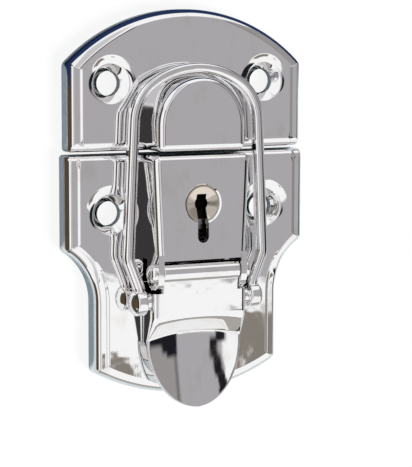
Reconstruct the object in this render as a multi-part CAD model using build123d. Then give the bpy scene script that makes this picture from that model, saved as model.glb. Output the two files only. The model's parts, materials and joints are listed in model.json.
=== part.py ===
from build123d import *
import os
from math import acos, asin, atan2, cos, degrees, radians, sin, sqrt, tan

# Keyed butterfly case latch: a lid-side catch plate with a D-shaped boss, and a case-side
# base plate that carries the lock case, the thumb lever and the bail.
# Frame, in millimetres: origin in the middle of the base plate's parting flange, on the
# mounting plane. +X to the right, +Y towards the lid, +Z out of the case.

os.makedirs("parts", exist_ok=True)

# ---- pressed plates -------------------------------------------------------------------
PLATE_T = 1.2             # sheet thickness
PARTING_GAP = 0.6         # gap between the two plates when the lid is shut
RIM_Z = 3.9               # height of the flat border
PANEL_STEP = 0.5          # rise from the border to the panel
BORDER_W = 1.4            # width of the flat border
STEP_W = 1.1              # width of the sloping step
RIM_ROUND = 0.6           # outer bend along the rim
PARTING_ROUND = 1.6       # outer bend along the parting edge
CORNER_R = 1.6            # plan radius at the plates' corners

CATCH_HALF_W = 24.4
CATCH_SIDE = 16.4         # straight side of the catch plate
CATCH_ARCH_H = 10.1       # rise of its arched top above the sides

BASE_HALF_W = 25.0
BASE_SIDE = 18.0          # straight side of the base plate
WAIST_R = 11.5            # concave sweep in to the waist
WAIST_HALF_W = 19.2
WAIST_LEN = 13.4          # straight side below the waist
BASE_ARCH_H = 5.2         # drop of the curved bottom edge

# ---- dimpled screw holes --------------------------------------------------------------
SCREW_R = 2.35
DIMPLE_R = 4.0            # mouth of the 90 degree dimple
DIMPLE_ROUND = 0.5
SCREW_SHIFT = 1.5         # screws in from midway between the case and the plate's edge
CATCH_SCREW_Y = 13.9
BASE_SCREW_Y = -10.6

# ---- boss and lock case ---------------------------------------------------------------
FACE_Z = 10.6             # front of the boss and of the lock case
BOSS_HALF_W = 9.1
BOSS_LEN = 14.0
BOSS_T = 1.2
BOSS_ROUND = 1.3
CASE_T = 1.2
CASE_HALF_W = 10.2        # at the parting edge
CASE_END_HALF_W = 9.3     # at the hinge end
CASE_LEN = 19.9
CASE_ROUND = 1.4
TAB_LEN = 3.0             # clinched tabs of the boss and of the case
TAB_T = 0.9
TAB_FOOT = 2.2
TAB_FIT = 0.1             # clearance round a tab in its slot
BOSS_TAB_Y = 4.6
CASE_TAB_YS = (-4.6, -15.6)

# ---- hinge ----------------------------------------------------------------------------
HINGE_DROP = 2.45         # hinge line beyond the case's end
HINGE_Z = 8.7
PIN_R = 0.85
PIN_HEAD_R = 1.8
PIN_HEAD_T = 1.2
PIN_FIT = 0.02            # radial fit of the pin in the ears
RUN_FIT = 0.05            # radial running clearance of the hinges
EAR_REACH = 3.25          # ear beyond the hinge line
EAR_ROUND = 2.5
EAR_FOOT_Z = 5.4
EAR_GAP = 0.1             # side clearance of the knuckle

# ---- lever ----------------------------------------------------------------------------
LEVER_T = 1.0
LEVER_HALF_W = 9.9
LEVER_Z = 9.6             # front of the lever's flat
LEVER_ROUND = 0.9
FLANGE_Z = 4.7            # foot of the side flanges and underside of the dish
FLANGE_START = 3.7        # flanges from the hinge line, clear of the ears
FLANGE_END = 13.65
FLANGE_ROUND = 1.6        # toe of each flange, next to the ears
SEAM_W = 0.25             # open seam of the rolled knuckle
LEVER_LEN = 26.25         # hinge line to the tip
TAB_START = 13.45         # hinge line to the widest line of the thumb tab
DISH_LONG_R = 30.0        # dished thumb tab: radius along the lever
DISH_WIDE_R = 52.0        # and across it
DISH_DROP = 13.35         # hinge line to the middle of the dish
SLOPE_FOOT_R = 40.0       # curved foot of the slope, in plan
SLOPE_FOOT = 12.0         # hinge line to that foot
SLOPE_W = 3.3             # the slope's run, up to the flat
LUG_HALF_W = 2.4          # lock lug on the knuckle
LUG_REACH = 3.3
LUG_TOP = -0.7            # from the hinge line
LUG_T = 1.0

# ---- bail and its rivets --------------------------------------------------------------
BAIL_W = 2.15             # bar, across
BAIL_DEPTH = 2.5          # bar, front to back
BAIL_ROUND = 0.8
BAIL_Z = 7.35
BAIL_BOSS_GAP = 0.5       # crown to boss, with the lever shut
CROWN_R = 16.2            # centre line radii
SHOULDER_R = 8.9
SHOULDER_HALF_W = 12.95   # centre line at the shoulders
LEG_HALF_W = 14.1         # centre line where the legs are widest
LEG_RISE = 8.3            # rivets to where the legs are widest
JOG_RISE = 2.7            # rivets to where the legs turn outward
JOG_ROUND = 3.5
EYE_GAP = 0.95            # lever flange to eye
EYE_R = 2.5
EYE_ROUND = 0.35
RIVET_DROP = 5.45         # hinge line to the rivets
RIVET_R = 1.5             # shoulder that the eye turns on
RIVET_SHANK_R = 0.8
RIVET_HEAD_R = 2.2
RIVET_HEAD_T = 0.9
RIVET_TAIL_R = 1.15
RIVET_TAIL_T = 0.6

# ---- lock -----------------------------------------------------------------------------
PLUG_Y = -8.7
PLUG_R = 3.45
PLUG_FIT = 0.07
PLUG_SUNK = 0.25          # plug rim below the case face
PLUG_BEVEL = 0.3
DISH_DEPTH = 0.8
DISH_RIM = 0.25
FLANGE_R = 4.1
FLANGE_T = 0.7
FACE_GAP = 0.1            # plug flange to the inside of the face
NECK_R = 3.0              # plug neck in the plug plate
NECK_END_Z = 6.9
KEY_SLOT_W = 2.0
KEY_SLOT_TOP = 1.8
KEY_BULB_R = 1.35
KEY_SLOT_END_Z = 7.6
CASE_SLOT_W = 2.3
CASE_SLOT_REACH = 7.4     # from the plug's centre
CRANK_R = 1.6             # throw of the crank pin
CRANK_PIN_R = 0.7
WASHER_T = 0.25
WASHER_FIT = 0.1
PLUG_PLATE_T = 0.7
PLUG_PLATE_HALF_H = 5.0
BOLT_Z = 5.6
BOLT_T = 1.1
BOLT_UP = 4.4             # bolt above the plug's centre
BOLT_DOWN = 4.0           # bolt's body below the plug's centre
TONGUE_HALF_W = 2.5
TONGUE_BITE = 1.4         # tongue's tip to the hinge line, bolt thrown
YOKE_FIT = 0.2
POST_CLEAR = 0.3          # post heads to the plug's flange
POST_SHOULDER_R = 1.5
POST_R = 0.9
POST_FIT = 0.1
POST_SPIGOT_R = 0.7
POST_HEAD_R = 1.0
POST_TAIL_R = 1.4
POST_TAIL_T = 0.7
SPRING_T = 0.3
SPRING_GAP = 0.3          # bowed strip to the bolt and to the case wall
SPRING_REACH = 4.4
SPRING_BOW = 0.5

# ---- places worked out from the sizes -------------------------------------------------
PANEL_Z = RIM_Z + PANEL_STEP
PANEL_BACK_Z = PANEL_Z - PLATE_T
BASE_EDGE_Y = PLATE_T / 2
CATCH_EDGE_Y = BASE_EDGE_Y + PARTING_GAP
CATCH_SHOULDER_Y = CATCH_EDGE_Y + CATCH_SIDE
CATCH_R = (CATCH_HALF_W**2 + CATCH_ARCH_H**2) / (2 * CATCH_ARCH_H)
CATCH_ARC_Y = CATCH_SHOULDER_Y + CATCH_ARCH_H - CATCH_R
WAIST_X = WAIST_HALF_W + WAIST_R
WAIST_Y = BASE_EDGE_Y - BASE_SIDE - sqrt(WAIST_R**2 - (WAIST_X - BASE_HALF_W) ** 2)
BASE_FOOT_Y = WAIST_Y - WAIST_LEN
BASE_R = (WAIST_HALF_W**2 + BASE_ARCH_H**2) / (2 * BASE_ARCH_H)
BASE_ARC_Y = BASE_FOOT_Y - BASE_ARCH_H + BASE_R
BOSS_TOP_Y = CATCH_EDGE_Y + BOSS_LEN
BOSS_ARC_Y = BOSS_TOP_Y - BOSS_HALF_W
CASE_END_Y = BASE_EDGE_Y - CASE_LEN
SCREW_X = (BASE_HALF_W + CASE_HALF_W) / 2 - SCREW_SHIFT
HINGE_Y = CASE_END_Y - HINGE_DROP
FLANGE_TOP_Y = HINGE_Y - FLANGE_START
FLANGE_END_Y = HINGE_Y - FLANGE_END
TAB_START_Y = HINGE_Y - TAB_START
TAB_TIP_Y = HINGE_Y - LEVER_LEN
DISH_Y = HINGE_Y - DISH_DROP
SLOPE_FOOT_Y = HINGE_Y - SLOPE_FOOT
DISH_Z = FLANGE_Z + LEVER_T
RIVET_Y = HINGE_Y - RIVET_DROP
JOG_END_Y = RIVET_Y + JOG_RISE
LEG_END_Y = RIVET_Y + LEG_RISE
EAR_INNER_X = CASE_END_HALF_W - CASE_T
ROLL_HALF_LEN = EAR_INNER_X - EAR_GAP
ROLL_BORE_R = PIN_R + RUN_FIT
ROLL_R = ROLL_BORE_R + LEVER_T
EYE_X = LEVER_HALF_W + EYE_GAP + BAIL_W / 2
EYE_OUTER_X = EYE_X + BAIL_W / 2
EYE_BORE_R = RIVET_R + RUN_FIT
CROWN_MID_Y = BOSS_TOP_Y + BAIL_BOSS_GAP + BAIL_W / 2
CASE_BACK_Z = FACE_Z - CASE_T
FLANGE_FRONT_Z = CASE_BACK_Z - FACE_GAP
FLANGE_BACK_Z = FLANGE_FRONT_Z - FLANGE_T
PLUG_PLATE_Z = FLANGE_BACK_Z - FACE_GAP / 2 - WASHER_T - PLUG_PLATE_T
PLUG_PLATE_TOP_Z = PLUG_PLATE_Z + PLUG_PLATE_T
POST_X = FLANGE_R + POST_HEAD_R + POST_CLEAR
BOLT_TRAVEL = sqrt(2) * CRANK_R
CRANK_OFFSET = BOLT_TRAVEL / 2
TONGUE_TIP_Y = HINGE_Y + TONGUE_BITE + BOLT_TRAVEL


def block(x0, x1, y0, y1, z0, z1):
    """Box between two corners."""
    centre = ((x0 + x1) / 2, (y0 + y1) / 2, (z0 + z1) / 2)
    return Pos(*centre) * Box(x1 - x0, y1 - y0, z1 - z0)


def rect(x0, x1, y0, y1):
    """Flat rectangle between two corners."""
    return Pos((x0 + x1) / 2, (y0 + y1) / 2) * Rectangle(x1 - x0, y1 - y0)


def disc(radius, x, y, z0, z1):
    """Upright cylinder from z0 to z1."""
    return Pos(x, y, (z0 + z1) / 2) * Cylinder(radius, z1 - z0)


def rod(radius, x0, x1, y, z):
    """Cylinder along X from x0 to x1."""
    return Pos((x0 + x1) / 2, y, z) * Rot(0, 90, 0) * Cylinder(radius, abs(x1 - x0))


def edges_at(shape, z):
    """Edges that lie wholly at height z."""
    level = shape.edges().filter_by_position(Axis.Z, z - 1e-3, z + 1e-3)
    return level


# ---- plates ---------------------------------------------------------------------------
def corner_radius(inset):
    """Plan radius of an outline's corners, on a line inset from the rim."""
    return max(CORNER_R - inset, 0.3)


def catch_region(inset, edge_inset):
    """Arched outline of the catch plate, inset along the rim and at the parting edge."""
    half = CATCH_HALF_W - inset
    low = CATCH_EDGE_Y + edge_inset
    outline = rect(-half, half, low, CATCH_SHOULDER_Y + CATCH_HALF_W)
    outline &= Pos(0, CATCH_ARC_Y) * Circle(CATCH_R - inset)
    corners = outline.vertices().group_by(Axis.Y)[-1]
    return fillet(corners, corner_radius(inset))


def base_region(inset, edge_inset):
    """Waisted outline of the base plate, inset along the rim and at the parting edge."""
    half = BASE_HALF_W - inset
    waist = WAIST_HALF_W - inset
    upper = rect(-half, half, WAIST_Y, BASE_EDGE_Y - edge_inset)
    for side in (-1, 1):
        upper -= Pos(side * WAIST_X, WAIST_Y) * Circle(WAIST_R + inset)
    lower = rect(-waist, waist, BASE_FOOT_Y - 2 * BASE_ARCH_H, WAIST_Y)
    lower &= Pos(0, BASE_ARC_Y) * Circle(BASE_R - inset)
    outline = upper + lower
    foot = outline.vertices().group_by(Axis.Y)[0]
    outline = fillet(foot, corner_radius(inset))
    hips = [v for v in outline.vertices() if abs(abs(v.X) - half) < 1e-3 and v.Y < -1]
    return fillet(hips, corner_radius(inset))


def pressing(region, depth, edge_y):
    """Solid under a plate's skin: border, sloping step and panel, depth below the face."""
    slope_shift = depth * tan(atan2(PANEL_STEP, STEP_W) / 2)
    rim = extrude(region(depth, depth), RIM_Z - depth)
    rim_edges = [e for e in edges_at(rim, RIM_Z - depth) if abs(e.center().Y - edge_y) > depth + 0.2]
    if depth < RIM_ROUND:
        rim = fillet(rim_edges, RIM_ROUND)
    low = Pos(0, 0, RIM_Z - depth) * region(BORDER_W + slope_shift, -PARTING_ROUND)
    high = Pos(0, 0, PANEL_Z - depth) * region(BORDER_W + slope_shift + STEP_W, -PARTING_ROUND)
    solid = rim + loft([low, high], ruled=True)
    outward = -1 if edge_y > BASE_EDGE_Y else 1
    inner_edge = edge_y - outward * depth
    far = edge_y + outward * 3 * PARTING_ROUND
    wide = 2 * BASE_HALF_W
    solid -= block(-wide, wide, min(inner_edge, far), max(inner_edge, far), -1, 2 * PANEL_Z)
    bend = PARTING_ROUND - depth
    cutter = block(-wide, wide, min(inner_edge, inner_edge - outward * bend),
                   max(inner_edge, inner_edge - outward * bend),
                   PANEL_Z - depth - bend, 2 * PANEL_Z)
    cutter -= rod(bend, -wide, wide, inner_edge - outward * bend, PANEL_Z - depth - bend)
    return solid - cutter


def dimple(x, y, offset):
    """Cone under a 90 degree screw dimple; offset moves its wall down through the sheet."""
    mouth = DIMPLE_R + offset * (sqrt(2) - 1)
    bottom = PANEL_Z - (DIMPLE_R - SCREW_R) - offset * sqrt(2)
    top = PANEL_Z - offset
    profile = Polyline((0, top), (mouth, top), (SCREW_R, bottom), (0, bottom), close=True)
    return Pos(x, y) * revolve(Plane.XZ * make_face(profile), Axis.Z)


def pressed_plate(region, edge_y, screw_y):
    """Sheet plate with its rim, raised panel and two dimpled screw holes."""
    plate = pressing(region, 0, edge_y) - pressing(region, PLATE_T, edge_y)
    for side in (-1, 1):
        x = side * SCREW_X
        plate += dimple(x, screw_y, PLATE_T)
        plate -= dimple(x, screw_y, 0)
        plate -= disc(SCREW_R, x, screw_y, -1, PANEL_Z)
    mouths = [e for e in edges_at(plate, PANEL_Z)
              if e.geom_type == GeomType.CIRCLE and abs(e.radius - DIMPLE_R) < 1e-3]
    return fillet(mouths, DIMPLE_ROUND)


# ---- boss and lock case ---------------------------------------------------------------
def boss_region(inset):
    """D-shaped outline of the boss."""
    half = BOSS_HALF_W - inset
    low = CATCH_EDGE_Y + inset
    sides = Polyline((-half, BOSS_ARC_Y), (-half, low), (half, low), (half, BOSS_ARC_Y))
    return make_face(Curve() + [sides, CenterArc((0, BOSS_ARC_Y), half, 0, 180)])


def case_half_width(y):
    """Outer half width of the lock case, which tapers towards the hinge."""
    share = (BASE_EDGE_Y - y) / CASE_LEN
    return CASE_HALF_W + share * (CASE_END_HALF_W - CASE_HALF_W)


def case_region(inset, end_y):
    """Tapered outline of the lock case, from its top wall to end_y."""
    top = BASE_EDGE_Y - inset
    top_half = case_half_width(top) - inset
    end_half = case_half_width(end_y) - inset
    corners = [(-top_half, top), (top_half, top), (end_half, end_y), (-end_half, end_y)]
    return make_face(Polyline(*corners, close=True))


def wall_windows(ring, ys, gap):
    """Stretches of a wall's plan where its tabs stand, with a gap all round."""
    windows = [rect(-BASE_HALF_W, BASE_HALF_W, y - TAB_LEN / 2, y + TAB_LEN / 2) for y in ys]
    stands = ring & Sketch() + windows
    return offset(stands, gap, kind=Kind.INTERSECTION) if gap else stands


def tab_feet(inner_half_width, outer_half_width, ys):
    """Ends of the tabs, turned in and clinched against the back of the panel."""
    feet = []
    for y in ys:
        for side in (-1, 1):
            inner = side * (inner_half_width(y) - TAB_FOOT)
            outer = side * outer_half_width(y)
            feet.append(block(min(inner, outer), max(inner, outer), y - TAB_LEN / 2, y + TAB_LEN / 2,
                              PANEL_BACK_Z - TAB_T, PANEL_BACK_Z))
    return feet


def boss_ring():
    return boss_region(0) - boss_region(BOSS_T)


def case_ring():
    return case_region(0, CASE_END_Y) - case_region(CASE_T, CASE_END_Y - 1)


def make_catch_plate():
    plate = pressed_plate(catch_region, CATCH_EDGE_Y, CATCH_SCREW_Y)
    slots = wall_windows(boss_ring(), [BOSS_TAB_Y], TAB_FIT)
    return plate - extrude(Pos(0, 0, PANEL_BACK_Z - 1) * slots, PLATE_T + 2)


def make_catch_boss():
    """Drawn D-shaped cap with two clinched tabs."""
    cap = extrude(Pos(0, 0, PANEL_Z) * boss_region(0), FACE_Z - PANEL_Z)
    corners = cap.edges().filter_by(Axis.Z).group_by(Axis.Y)[0]
    cap = fillet(corners + edges_at(cap, FACE_Z), BOSS_ROUND)
    hollow = extrude(Pos(0, 0, PANEL_Z - 1) * boss_region(BOSS_T), FACE_Z - PANEL_Z + 1 - BOSS_T)
    cap -= hollow
    tabs = wall_windows(boss_ring(), [BOSS_TAB_Y], 0)
    foot_z = PANEL_BACK_Z - TAB_T
    cap += extrude(Pos(0, 0, foot_z) * tabs, PANEL_Z + 0.1 - foot_z)
    for foot in tab_feet(lambda y: BOSS_HALF_W - BOSS_T, lambda y: BOSS_HALF_W, [BOSS_TAB_Y]):
        cap += foot
    return cap


def make_base_plate():
    plate = pressed_plate(base_region, BASE_EDGE_Y, BASE_SCREW_Y)
    slots = wall_windows(case_ring(), CASE_TAB_YS, TAB_FIT)
    plate -= extrude(Pos(0, 0, PANEL_BACK_Z - 1) * slots, PLATE_T + 2)
    for side in (-1, 1):
        plate -= disc(POST_R + PIN_FIT, side * POST_X, PLUG_Y, PANEL_BACK_Z - 1, PANEL_Z + 1)
    return plate


def ear_profile():
    """Side view of a hinge ear, from the case's end to its rounded nose."""
    outline = Plane.YZ * rect(HINGE_Y - EAR_REACH, CASE_END_Y + CASE_T, EAR_FOOT_Z, FACE_Z)
    nose = outline.vertices().group_by(Axis.Y)[0]
    return fillet(nose, EAR_ROUND)


def make_lock_case():
    """Folded case: face, two tapering walls that run on as ears, top wall and four tabs."""
    case = extrude(Pos(0, 0, PANEL_Z) * case_region(0, CASE_END_Y), FACE_Z - PANEL_Z)
    corners = case.edges().filter_by(Axis.Z).group_by(Axis.Y)[-1]
    front = edges_at(case, FACE_Z).sort_by(Axis.Y)[1:]
    case = fillet(corners + front, CASE_ROUND)
    case -= extrude(Pos(0, 0, PANEL_Z - 1) * case_region(CASE_T, CASE_END_Y - 1),
                    CASE_BACK_Z - PANEL_Z + 1)
    for side in (-1, 1):
        inner = side * EAR_INNER_X
        ear = extrude(Pos(inner, 0, 0) * ear_profile(), side * CASE_T)
        case += ear
    for side in (-1, 1):
        case -= rod(PIN_R + PIN_FIT, side * (EAR_INNER_X - 1), side * (CASE_END_HALF_W + 1),
                    HINGE_Y, HINGE_Z)
    case -= disc(PLUG_R + PLUG_FIT, 0, PLUG_Y, CASE_BACK_Z - 1, FACE_Z + 1)
    bevel = Pos(0, PLUG_Y, FACE_Z - PLUG_BEVEL / 2) * Cone(
        PLUG_R + PLUG_FIT, PLUG_R + PLUG_FIT + PLUG_BEVEL, PLUG_BEVEL)
    case -= bevel
    slot_end = PLUG_Y - CASE_SLOT_REACH + CASE_SLOT_W / 2
    case -= block(-CASE_SLOT_W / 2, CASE_SLOT_W / 2, slot_end, PLUG_Y, CASE_BACK_Z - 1, FACE_Z + 1)
    case -= disc(CASE_SLOT_W / 2, 0, slot_end, CASE_BACK_Z - 1, FACE_Z + 1)
    foot_z = PANEL_BACK_Z - TAB_T
    tabs = wall_windows(case_ring(), CASE_TAB_YS, 0)
    case += extrude(Pos(0, 0, foot_z) * tabs, PANEL_Z + 0.1 - foot_z)
    for foot in tab_feet(lambda y: case_half_width(y) - CASE_T, case_half_width, CASE_TAB_YS):
        case += foot
    return case


def make_hinge_pin():
    """Pin with both ends peened over the ears."""
    pin = rod(PIN_R, -CASE_END_HALF_W, CASE_END_HALF_W, HINGE_Y, HINGE_Z)
    for side in (-1, 1):
        head = rod(PIN_HEAD_R, side * CASE_END_HALF_W, side * (CASE_END_HALF_W + PIN_HEAD_T),
                   HINGE_Y, HINGE_Z)
        outer = head.edges().sort_by(Axis.X)[-1 if side > 0 else 0]
        pin += fillet(outer, PIN_HEAD_R / 2)
    return pin


# ---- lever ----------------------------------------------------------------------------
def lever_region(inset, tab_growth):
    """Plan of the lever below the ears: a rectangle that ends in a half ellipse."""
    half = LEVER_HALF_W - inset
    body = rect(-half, half, TAB_START_Y, FLANGE_TOP_Y)
    tab_half = LEVER_HALF_W + tab_growth
    tab_len = TAB_START_Y - TAB_TIP_Y + tab_growth
    tab = Pos(0, TAB_START_Y) * Ellipse(tab_half, tab_len)
    tab &= rect(-tab_half, tab_half, TAB_START_Y - tab_len, TAB_START_Y)
    return body + tab


def scoop(offset_by):
    """Space over the dish and the slope above it; offset_by moves its skin down the sheet."""
    top = LEVER_Z + 1
    low = DISH_Z - offset_by
    long_r = DISH_LONG_R + offset_by
    reach = sqrt(long_r**2 - (low + long_r - top) ** 2)
    arc = ThreePointArc((-reach, top), (0, low), (reach, top))
    hollow = Plane.YZ * make_face([arc, Line((reach, top), (-reach, top))])
    hollow = Pos(0, DISH_Y) * hollow
    axis = Axis((0, 0, DISH_Z + DISH_WIDE_R), (0, 1, 0))
    swing = 2 * degrees(asin(2 * LEVER_HALF_W / DISH_WIDE_R))
    dish = revolve(hollow.rotate(axis, -swing / 2), axis, swing)
    rise = LEVER_Z - DISH_Z
    growth = SLOPE_W / rise
    over = DISH_LONG_R
    foot = SLOPE_FOOT_R + offset_by * sqrt(1 + growth**2)
    centre_y = SLOPE_FOOT_Y - SLOPE_FOOT_R
    under = 2 * offset_by + 1
    cone_h = over + under
    cone = Cone(foot - under * growth, foot + over * growth, cone_h)
    return dish & (Pos(0, centre_y, DISH_Z - under + cone_h / 2) * cone)


def make_lever():
    """One pressing: rolled knuckle, flat, two flanges, slope and dished thumb tab."""
    body = extrude(Pos(0, 0, FLANGE_Z) * lever_region(0, 0), LEVER_Z - FLANGE_Z)
    long_edges = [e for e in edges_at(body, LEVER_Z)
                  if e.geom_type == GeomType.LINE and abs(e.center().X) > LEVER_HALF_W - 0.1]
    body = fillet(long_edges, LEVER_ROUND)
    body -= scoop(0)
    half = LEVER_HALF_W - LEVER_T
    under = block(-half, half, FLANGE_END_Y, FLANGE_TOP_Y + 1, 0, LEVER_Z - LEVER_T)
    wide = 2 * LEVER_HALF_W
    under += block(-wide, wide, 2 * TAB_TIP_Y, FLANGE_END_Y, 0, LEVER_Z - LEVER_T)
    body -= under - scoop(LEVER_T)
    neck = block(-ROLL_HALF_LEN, ROLL_HALF_LEN, FLANGE_TOP_Y - LEVER_T, HINGE_Y,
                 LEVER_Z - LEVER_T, LEVER_Z)
    roll = rod(ROLL_R, -ROLL_HALF_LEN, ROLL_HALF_LEN, HINGE_Y, HINGE_Z)
    lug_top = HINGE_Z + LUG_TOP
    lug = block(-LUG_HALF_W, LUG_HALF_W, HINGE_Y, HINGE_Y + LUG_REACH, lug_top - LUG_T, lug_top)
    lever = body + neck + roll + lug
    lever -= rod(ROLL_BORE_R, -wide, wide, HINGE_Y, HINGE_Z)
    seam_z = LEVER_Z - LEVER_T
    lever -= block(-wide, wide, HINGE_Y - ROLL_R, HINGE_Y, seam_z - SEAM_W, seam_z)
    toes = [e for e in lever.edges().filter_by(Axis.X)
            if abs(e.center().Z - FLANGE_Z) < 1e-3 and abs(e.center().Y - FLANGE_TOP_Y) < 1e-3]
    lever = fillet(toes, FLANGE_ROUND)
    for side in (-1, 1):
        lever -= rod(RIVET_SHANK_R + PIN_FIT, side * (half - 1), side * (LEVER_HALF_W + 1),
                     RIVET_Y, BAIL_Z)
    return lever


# ---- bail -----------------------------------------------------------------------------
def bail_half_path():
    """Centre line of the right half: eye, inward jog, splayed leg, shoulder, half crown."""
    shoulder_x = SHOULDER_HALF_W - SHOULDER_R
    crown_y = CROWN_MID_Y - CROWN_R
    shoulder_y = crown_y + sqrt((CROWN_R - SHOULDER_R) ** 2 - shoulder_x**2)
    dx = LEG_HALF_W - shoulder_x
    dy = LEG_END_Y - shoulder_y
    start = degrees(atan2(dy, dx) + acos(SHOULDER_R / sqrt(dx**2 + dy**2)))
    end = degrees(atan2(shoulder_y - crown_y, shoulder_x))
    tangent_x = shoulder_x + SHOULDER_R * cos(radians(start))
    tangent_y = shoulder_y + SHOULDER_R * sin(radians(start))
    leg = FilletPolyline((EYE_X, RIVET_Y), (EYE_X, JOG_END_Y), (LEG_HALF_W, LEG_END_Y),
                         (tangent_x, tangent_y), radius=JOG_ROUND)
    shoulder = CenterArc((shoulder_x, shoulder_y), SHOULDER_R, start, end - start)
    crown = CenterArc((0, crown_y), CROWN_R, end, 90 - end)
    return leg, shoulder, crown


def make_bail():
    """Bar bent in one plane, with an eye at each end."""
    leg, shoulder, crown = bail_half_path()
    half = Curve() + [leg, shoulder, crown]
    wire = Wire(half.edges() + mirror(half, about=Plane.YZ).edges())
    wire = Pos(0, 0, BAIL_Z) * wire
    bar = RectangleRounded(BAIL_W, BAIL_DEPTH, BAIL_ROUND)
    start = Plane(origin=(EYE_X, RIVET_Y, BAIL_Z), x_dir=(1, 0, 0), z_dir=(0, 1, 0))
    bail = sweep(start * bar, path=wire)
    for side in (-1, 1):
        eye = rod(EYE_R, side * (EYE_X - BAIL_W / 2), side * EYE_OUTER_X, RIVET_Y, BAIL_Z)
        rims = eye.edges().filter_by(GeomType.CIRCLE)
        bail += fillet(rims, EYE_ROUND)
    for side in (-1, 1):
        bail -= rod(EYE_BORE_R, side * (EYE_X - BAIL_W), side * (EYE_X + BAIL_W), RIVET_Y, BAIL_Z)
    return bail


def make_rivet():
    """Right-hand shouldered rivet: clinched in the lever's flange, domed head outside."""
    flange_in = LEVER_HALF_W - LEVER_T
    tail = flange_in - RIVET_TAIL_T
    under_head = EYE_OUTER_X + EAR_GAP
    ball_r = (RIVET_HEAD_R**2 + RIVET_HEAD_T**2) / (2 * RIVET_HEAD_T)
    ball_x = under_head + RIVET_HEAD_T - ball_r
    steps = Polyline((ball_x + ball_r, 0), (tail, 0), (tail, RIVET_TAIL_R), (flange_in, RIVET_TAIL_R),
                     (flange_in, RIVET_SHANK_R), (LEVER_HALF_W, RIVET_SHANK_R),
                     (LEVER_HALF_W, RIVET_R), (under_head, RIVET_R), (under_head, RIVET_HEAD_R))
    dome = CenterArc((ball_x, 0), ball_r, 0, degrees(atan2(RIVET_HEAD_R, under_head - ball_x)))
    profile = make_face(Curve() + [steps, dome])
    return Pos(0, RIVET_Y, BAIL_Z) * revolve(profile, Axis.X)


# ---- lock -----------------------------------------------------------------------------
def bolt_half_width():
    """Half width of the bolt, which leaves room for the bowed spring in the case."""
    room = SPRING_GAP + SPRING_T + SPRING_BOW
    return case_half_width(PLUG_Y - SPRING_REACH) - CASE_T - room


def make_lock_plug():
    """Dished plug with the key slot, a flange behind the face and a crank pin."""
    rim_z = FACE_Z - PLUG_SUNK
    plug = disc(PLUG_R, 0, PLUG_Y, FLANGE_BACK_Z, rim_z)
    plug += disc(FLANGE_R, 0, PLUG_Y, FLANGE_BACK_Z, FLANGE_FRONT_Z)
    plug += disc(NECK_R, 0, PLUG_Y, NECK_END_Z, FLANGE_BACK_Z)
    plug += disc(CRANK_PIN_R, CRANK_OFFSET, PLUG_Y + CRANK_OFFSET, BOLT_Z, NECK_END_Z)
    dish = Pos(0, PLUG_Y, rim_z - DISH_DEPTH / 2) * Cone(
        KEY_BULB_R, PLUG_R - DISH_RIM, DISH_DEPTH)
    plug -= dish
    plug -= disc(KEY_BULB_R, 0, PLUG_Y, KEY_SLOT_END_Z, FACE_Z)
    plug -= block(-KEY_SLOT_W / 2, KEY_SLOT_W / 2, PLUG_Y, PLUG_Y + KEY_SLOT_TOP,
                  KEY_SLOT_END_Z, FACE_Z)
    plug -= block(-KEY_SLOT_W / 2, KEY_SLOT_W / 2, PLUG_Y - PLUG_R - 1, PLUG_Y,
                  FLANGE_BACK_Z, FACE_Z)
    return plug


def make_plug_washer():
    washer = disc(FLANGE_R, 0, PLUG_Y, PLUG_PLATE_TOP_Z, PLUG_PLATE_TOP_Z + WASHER_T)
    return washer - disc(NECK_R + WASHER_FIT, 0, PLUG_Y, PLUG_PLATE_Z, FLANGE_FRONT_Z)


def make_plug_plate():
    """Plate on the posts that bears the plug's neck."""
    plan = Pos(0, PLUG_Y) * RectangleRounded(2 * bolt_half_width(), 2 * PLUG_PLATE_HALF_H, CASE_T)
    plate = extrude(Pos(0, 0, PLUG_PLATE_Z) * plan, PLUG_PLATE_T)
    plate -= disc(NECK_R + PLUG_FIT, 0, PLUG_Y, PLUG_PLATE_Z - 1, PLUG_PLATE_TOP_Z + 1)
    for side in (-1, 1):
        plate -= disc(POST_SPIGOT_R + PIN_FIT, side * POST_X, PLUG_Y,
                      PLUG_PLATE_Z - 1, PLUG_PLATE_TOP_Z + 1)
    return plate


def make_lock_bolt():
    """Sliding bolt: crank slot, two guide slots and a tongue that bites under the lug."""
    half = bolt_half_width()
    plan = rect(-half, half, PLUG_Y - BOLT_DOWN, PLUG_Y + BOLT_UP)
    plan += rect(-TONGUE_HALF_W, TONGUE_HALF_W, TONGUE_TIP_Y, PLUG_Y - BOLT_DOWN)
    yoke_half = CRANK_PIN_R + YOKE_FIT
    yoke_y = PLUG_Y + CRANK_OFFSET
    plan -= rect(CRANK_OFFSET - yoke_half, CRANK_R + yoke_half, yoke_y - yoke_half, yoke_y + yoke_half)
    slot_half = POST_R + POST_FIT
    for side in (-1, 1):
        x = side * POST_X
        plan -= rect(x - slot_half, x + slot_half, PLUG_Y, PLUG_Y + BOLT_TRAVEL)
        plan -= Pos(x, PLUG_Y) * Circle(slot_half)
        plan -= Pos(x, PLUG_Y + BOLT_TRAVEL) * Circle(slot_half)
    return extrude(Pos(0, 0, BOLT_Z) * plan, BOLT_T)


def make_guide_post(side):
    """Shouldered post, riveted to the base plate and to the plug plate."""
    x = side * POST_X
    post = disc(POST_TAIL_R, x, PLUG_Y, PANEL_BACK_Z - POST_TAIL_T, PANEL_BACK_Z)
    post += disc(POST_R, x, PLUG_Y, PANEL_BACK_Z, PLUG_PLATE_Z)
    post += disc(POST_SHOULDER_R, x, PLUG_Y, PANEL_Z, BOLT_Z - POST_FIT)
    post += disc(POST_SPIGOT_R, x, PLUG_Y, PLUG_PLATE_Z, PLUG_PLATE_TOP_Z)
    post += disc(POST_HEAD_R, x, PLUG_Y, PLUG_PLATE_TOP_Z, PLUG_PLATE_TOP_Z + WASHER_T)
    return post


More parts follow.
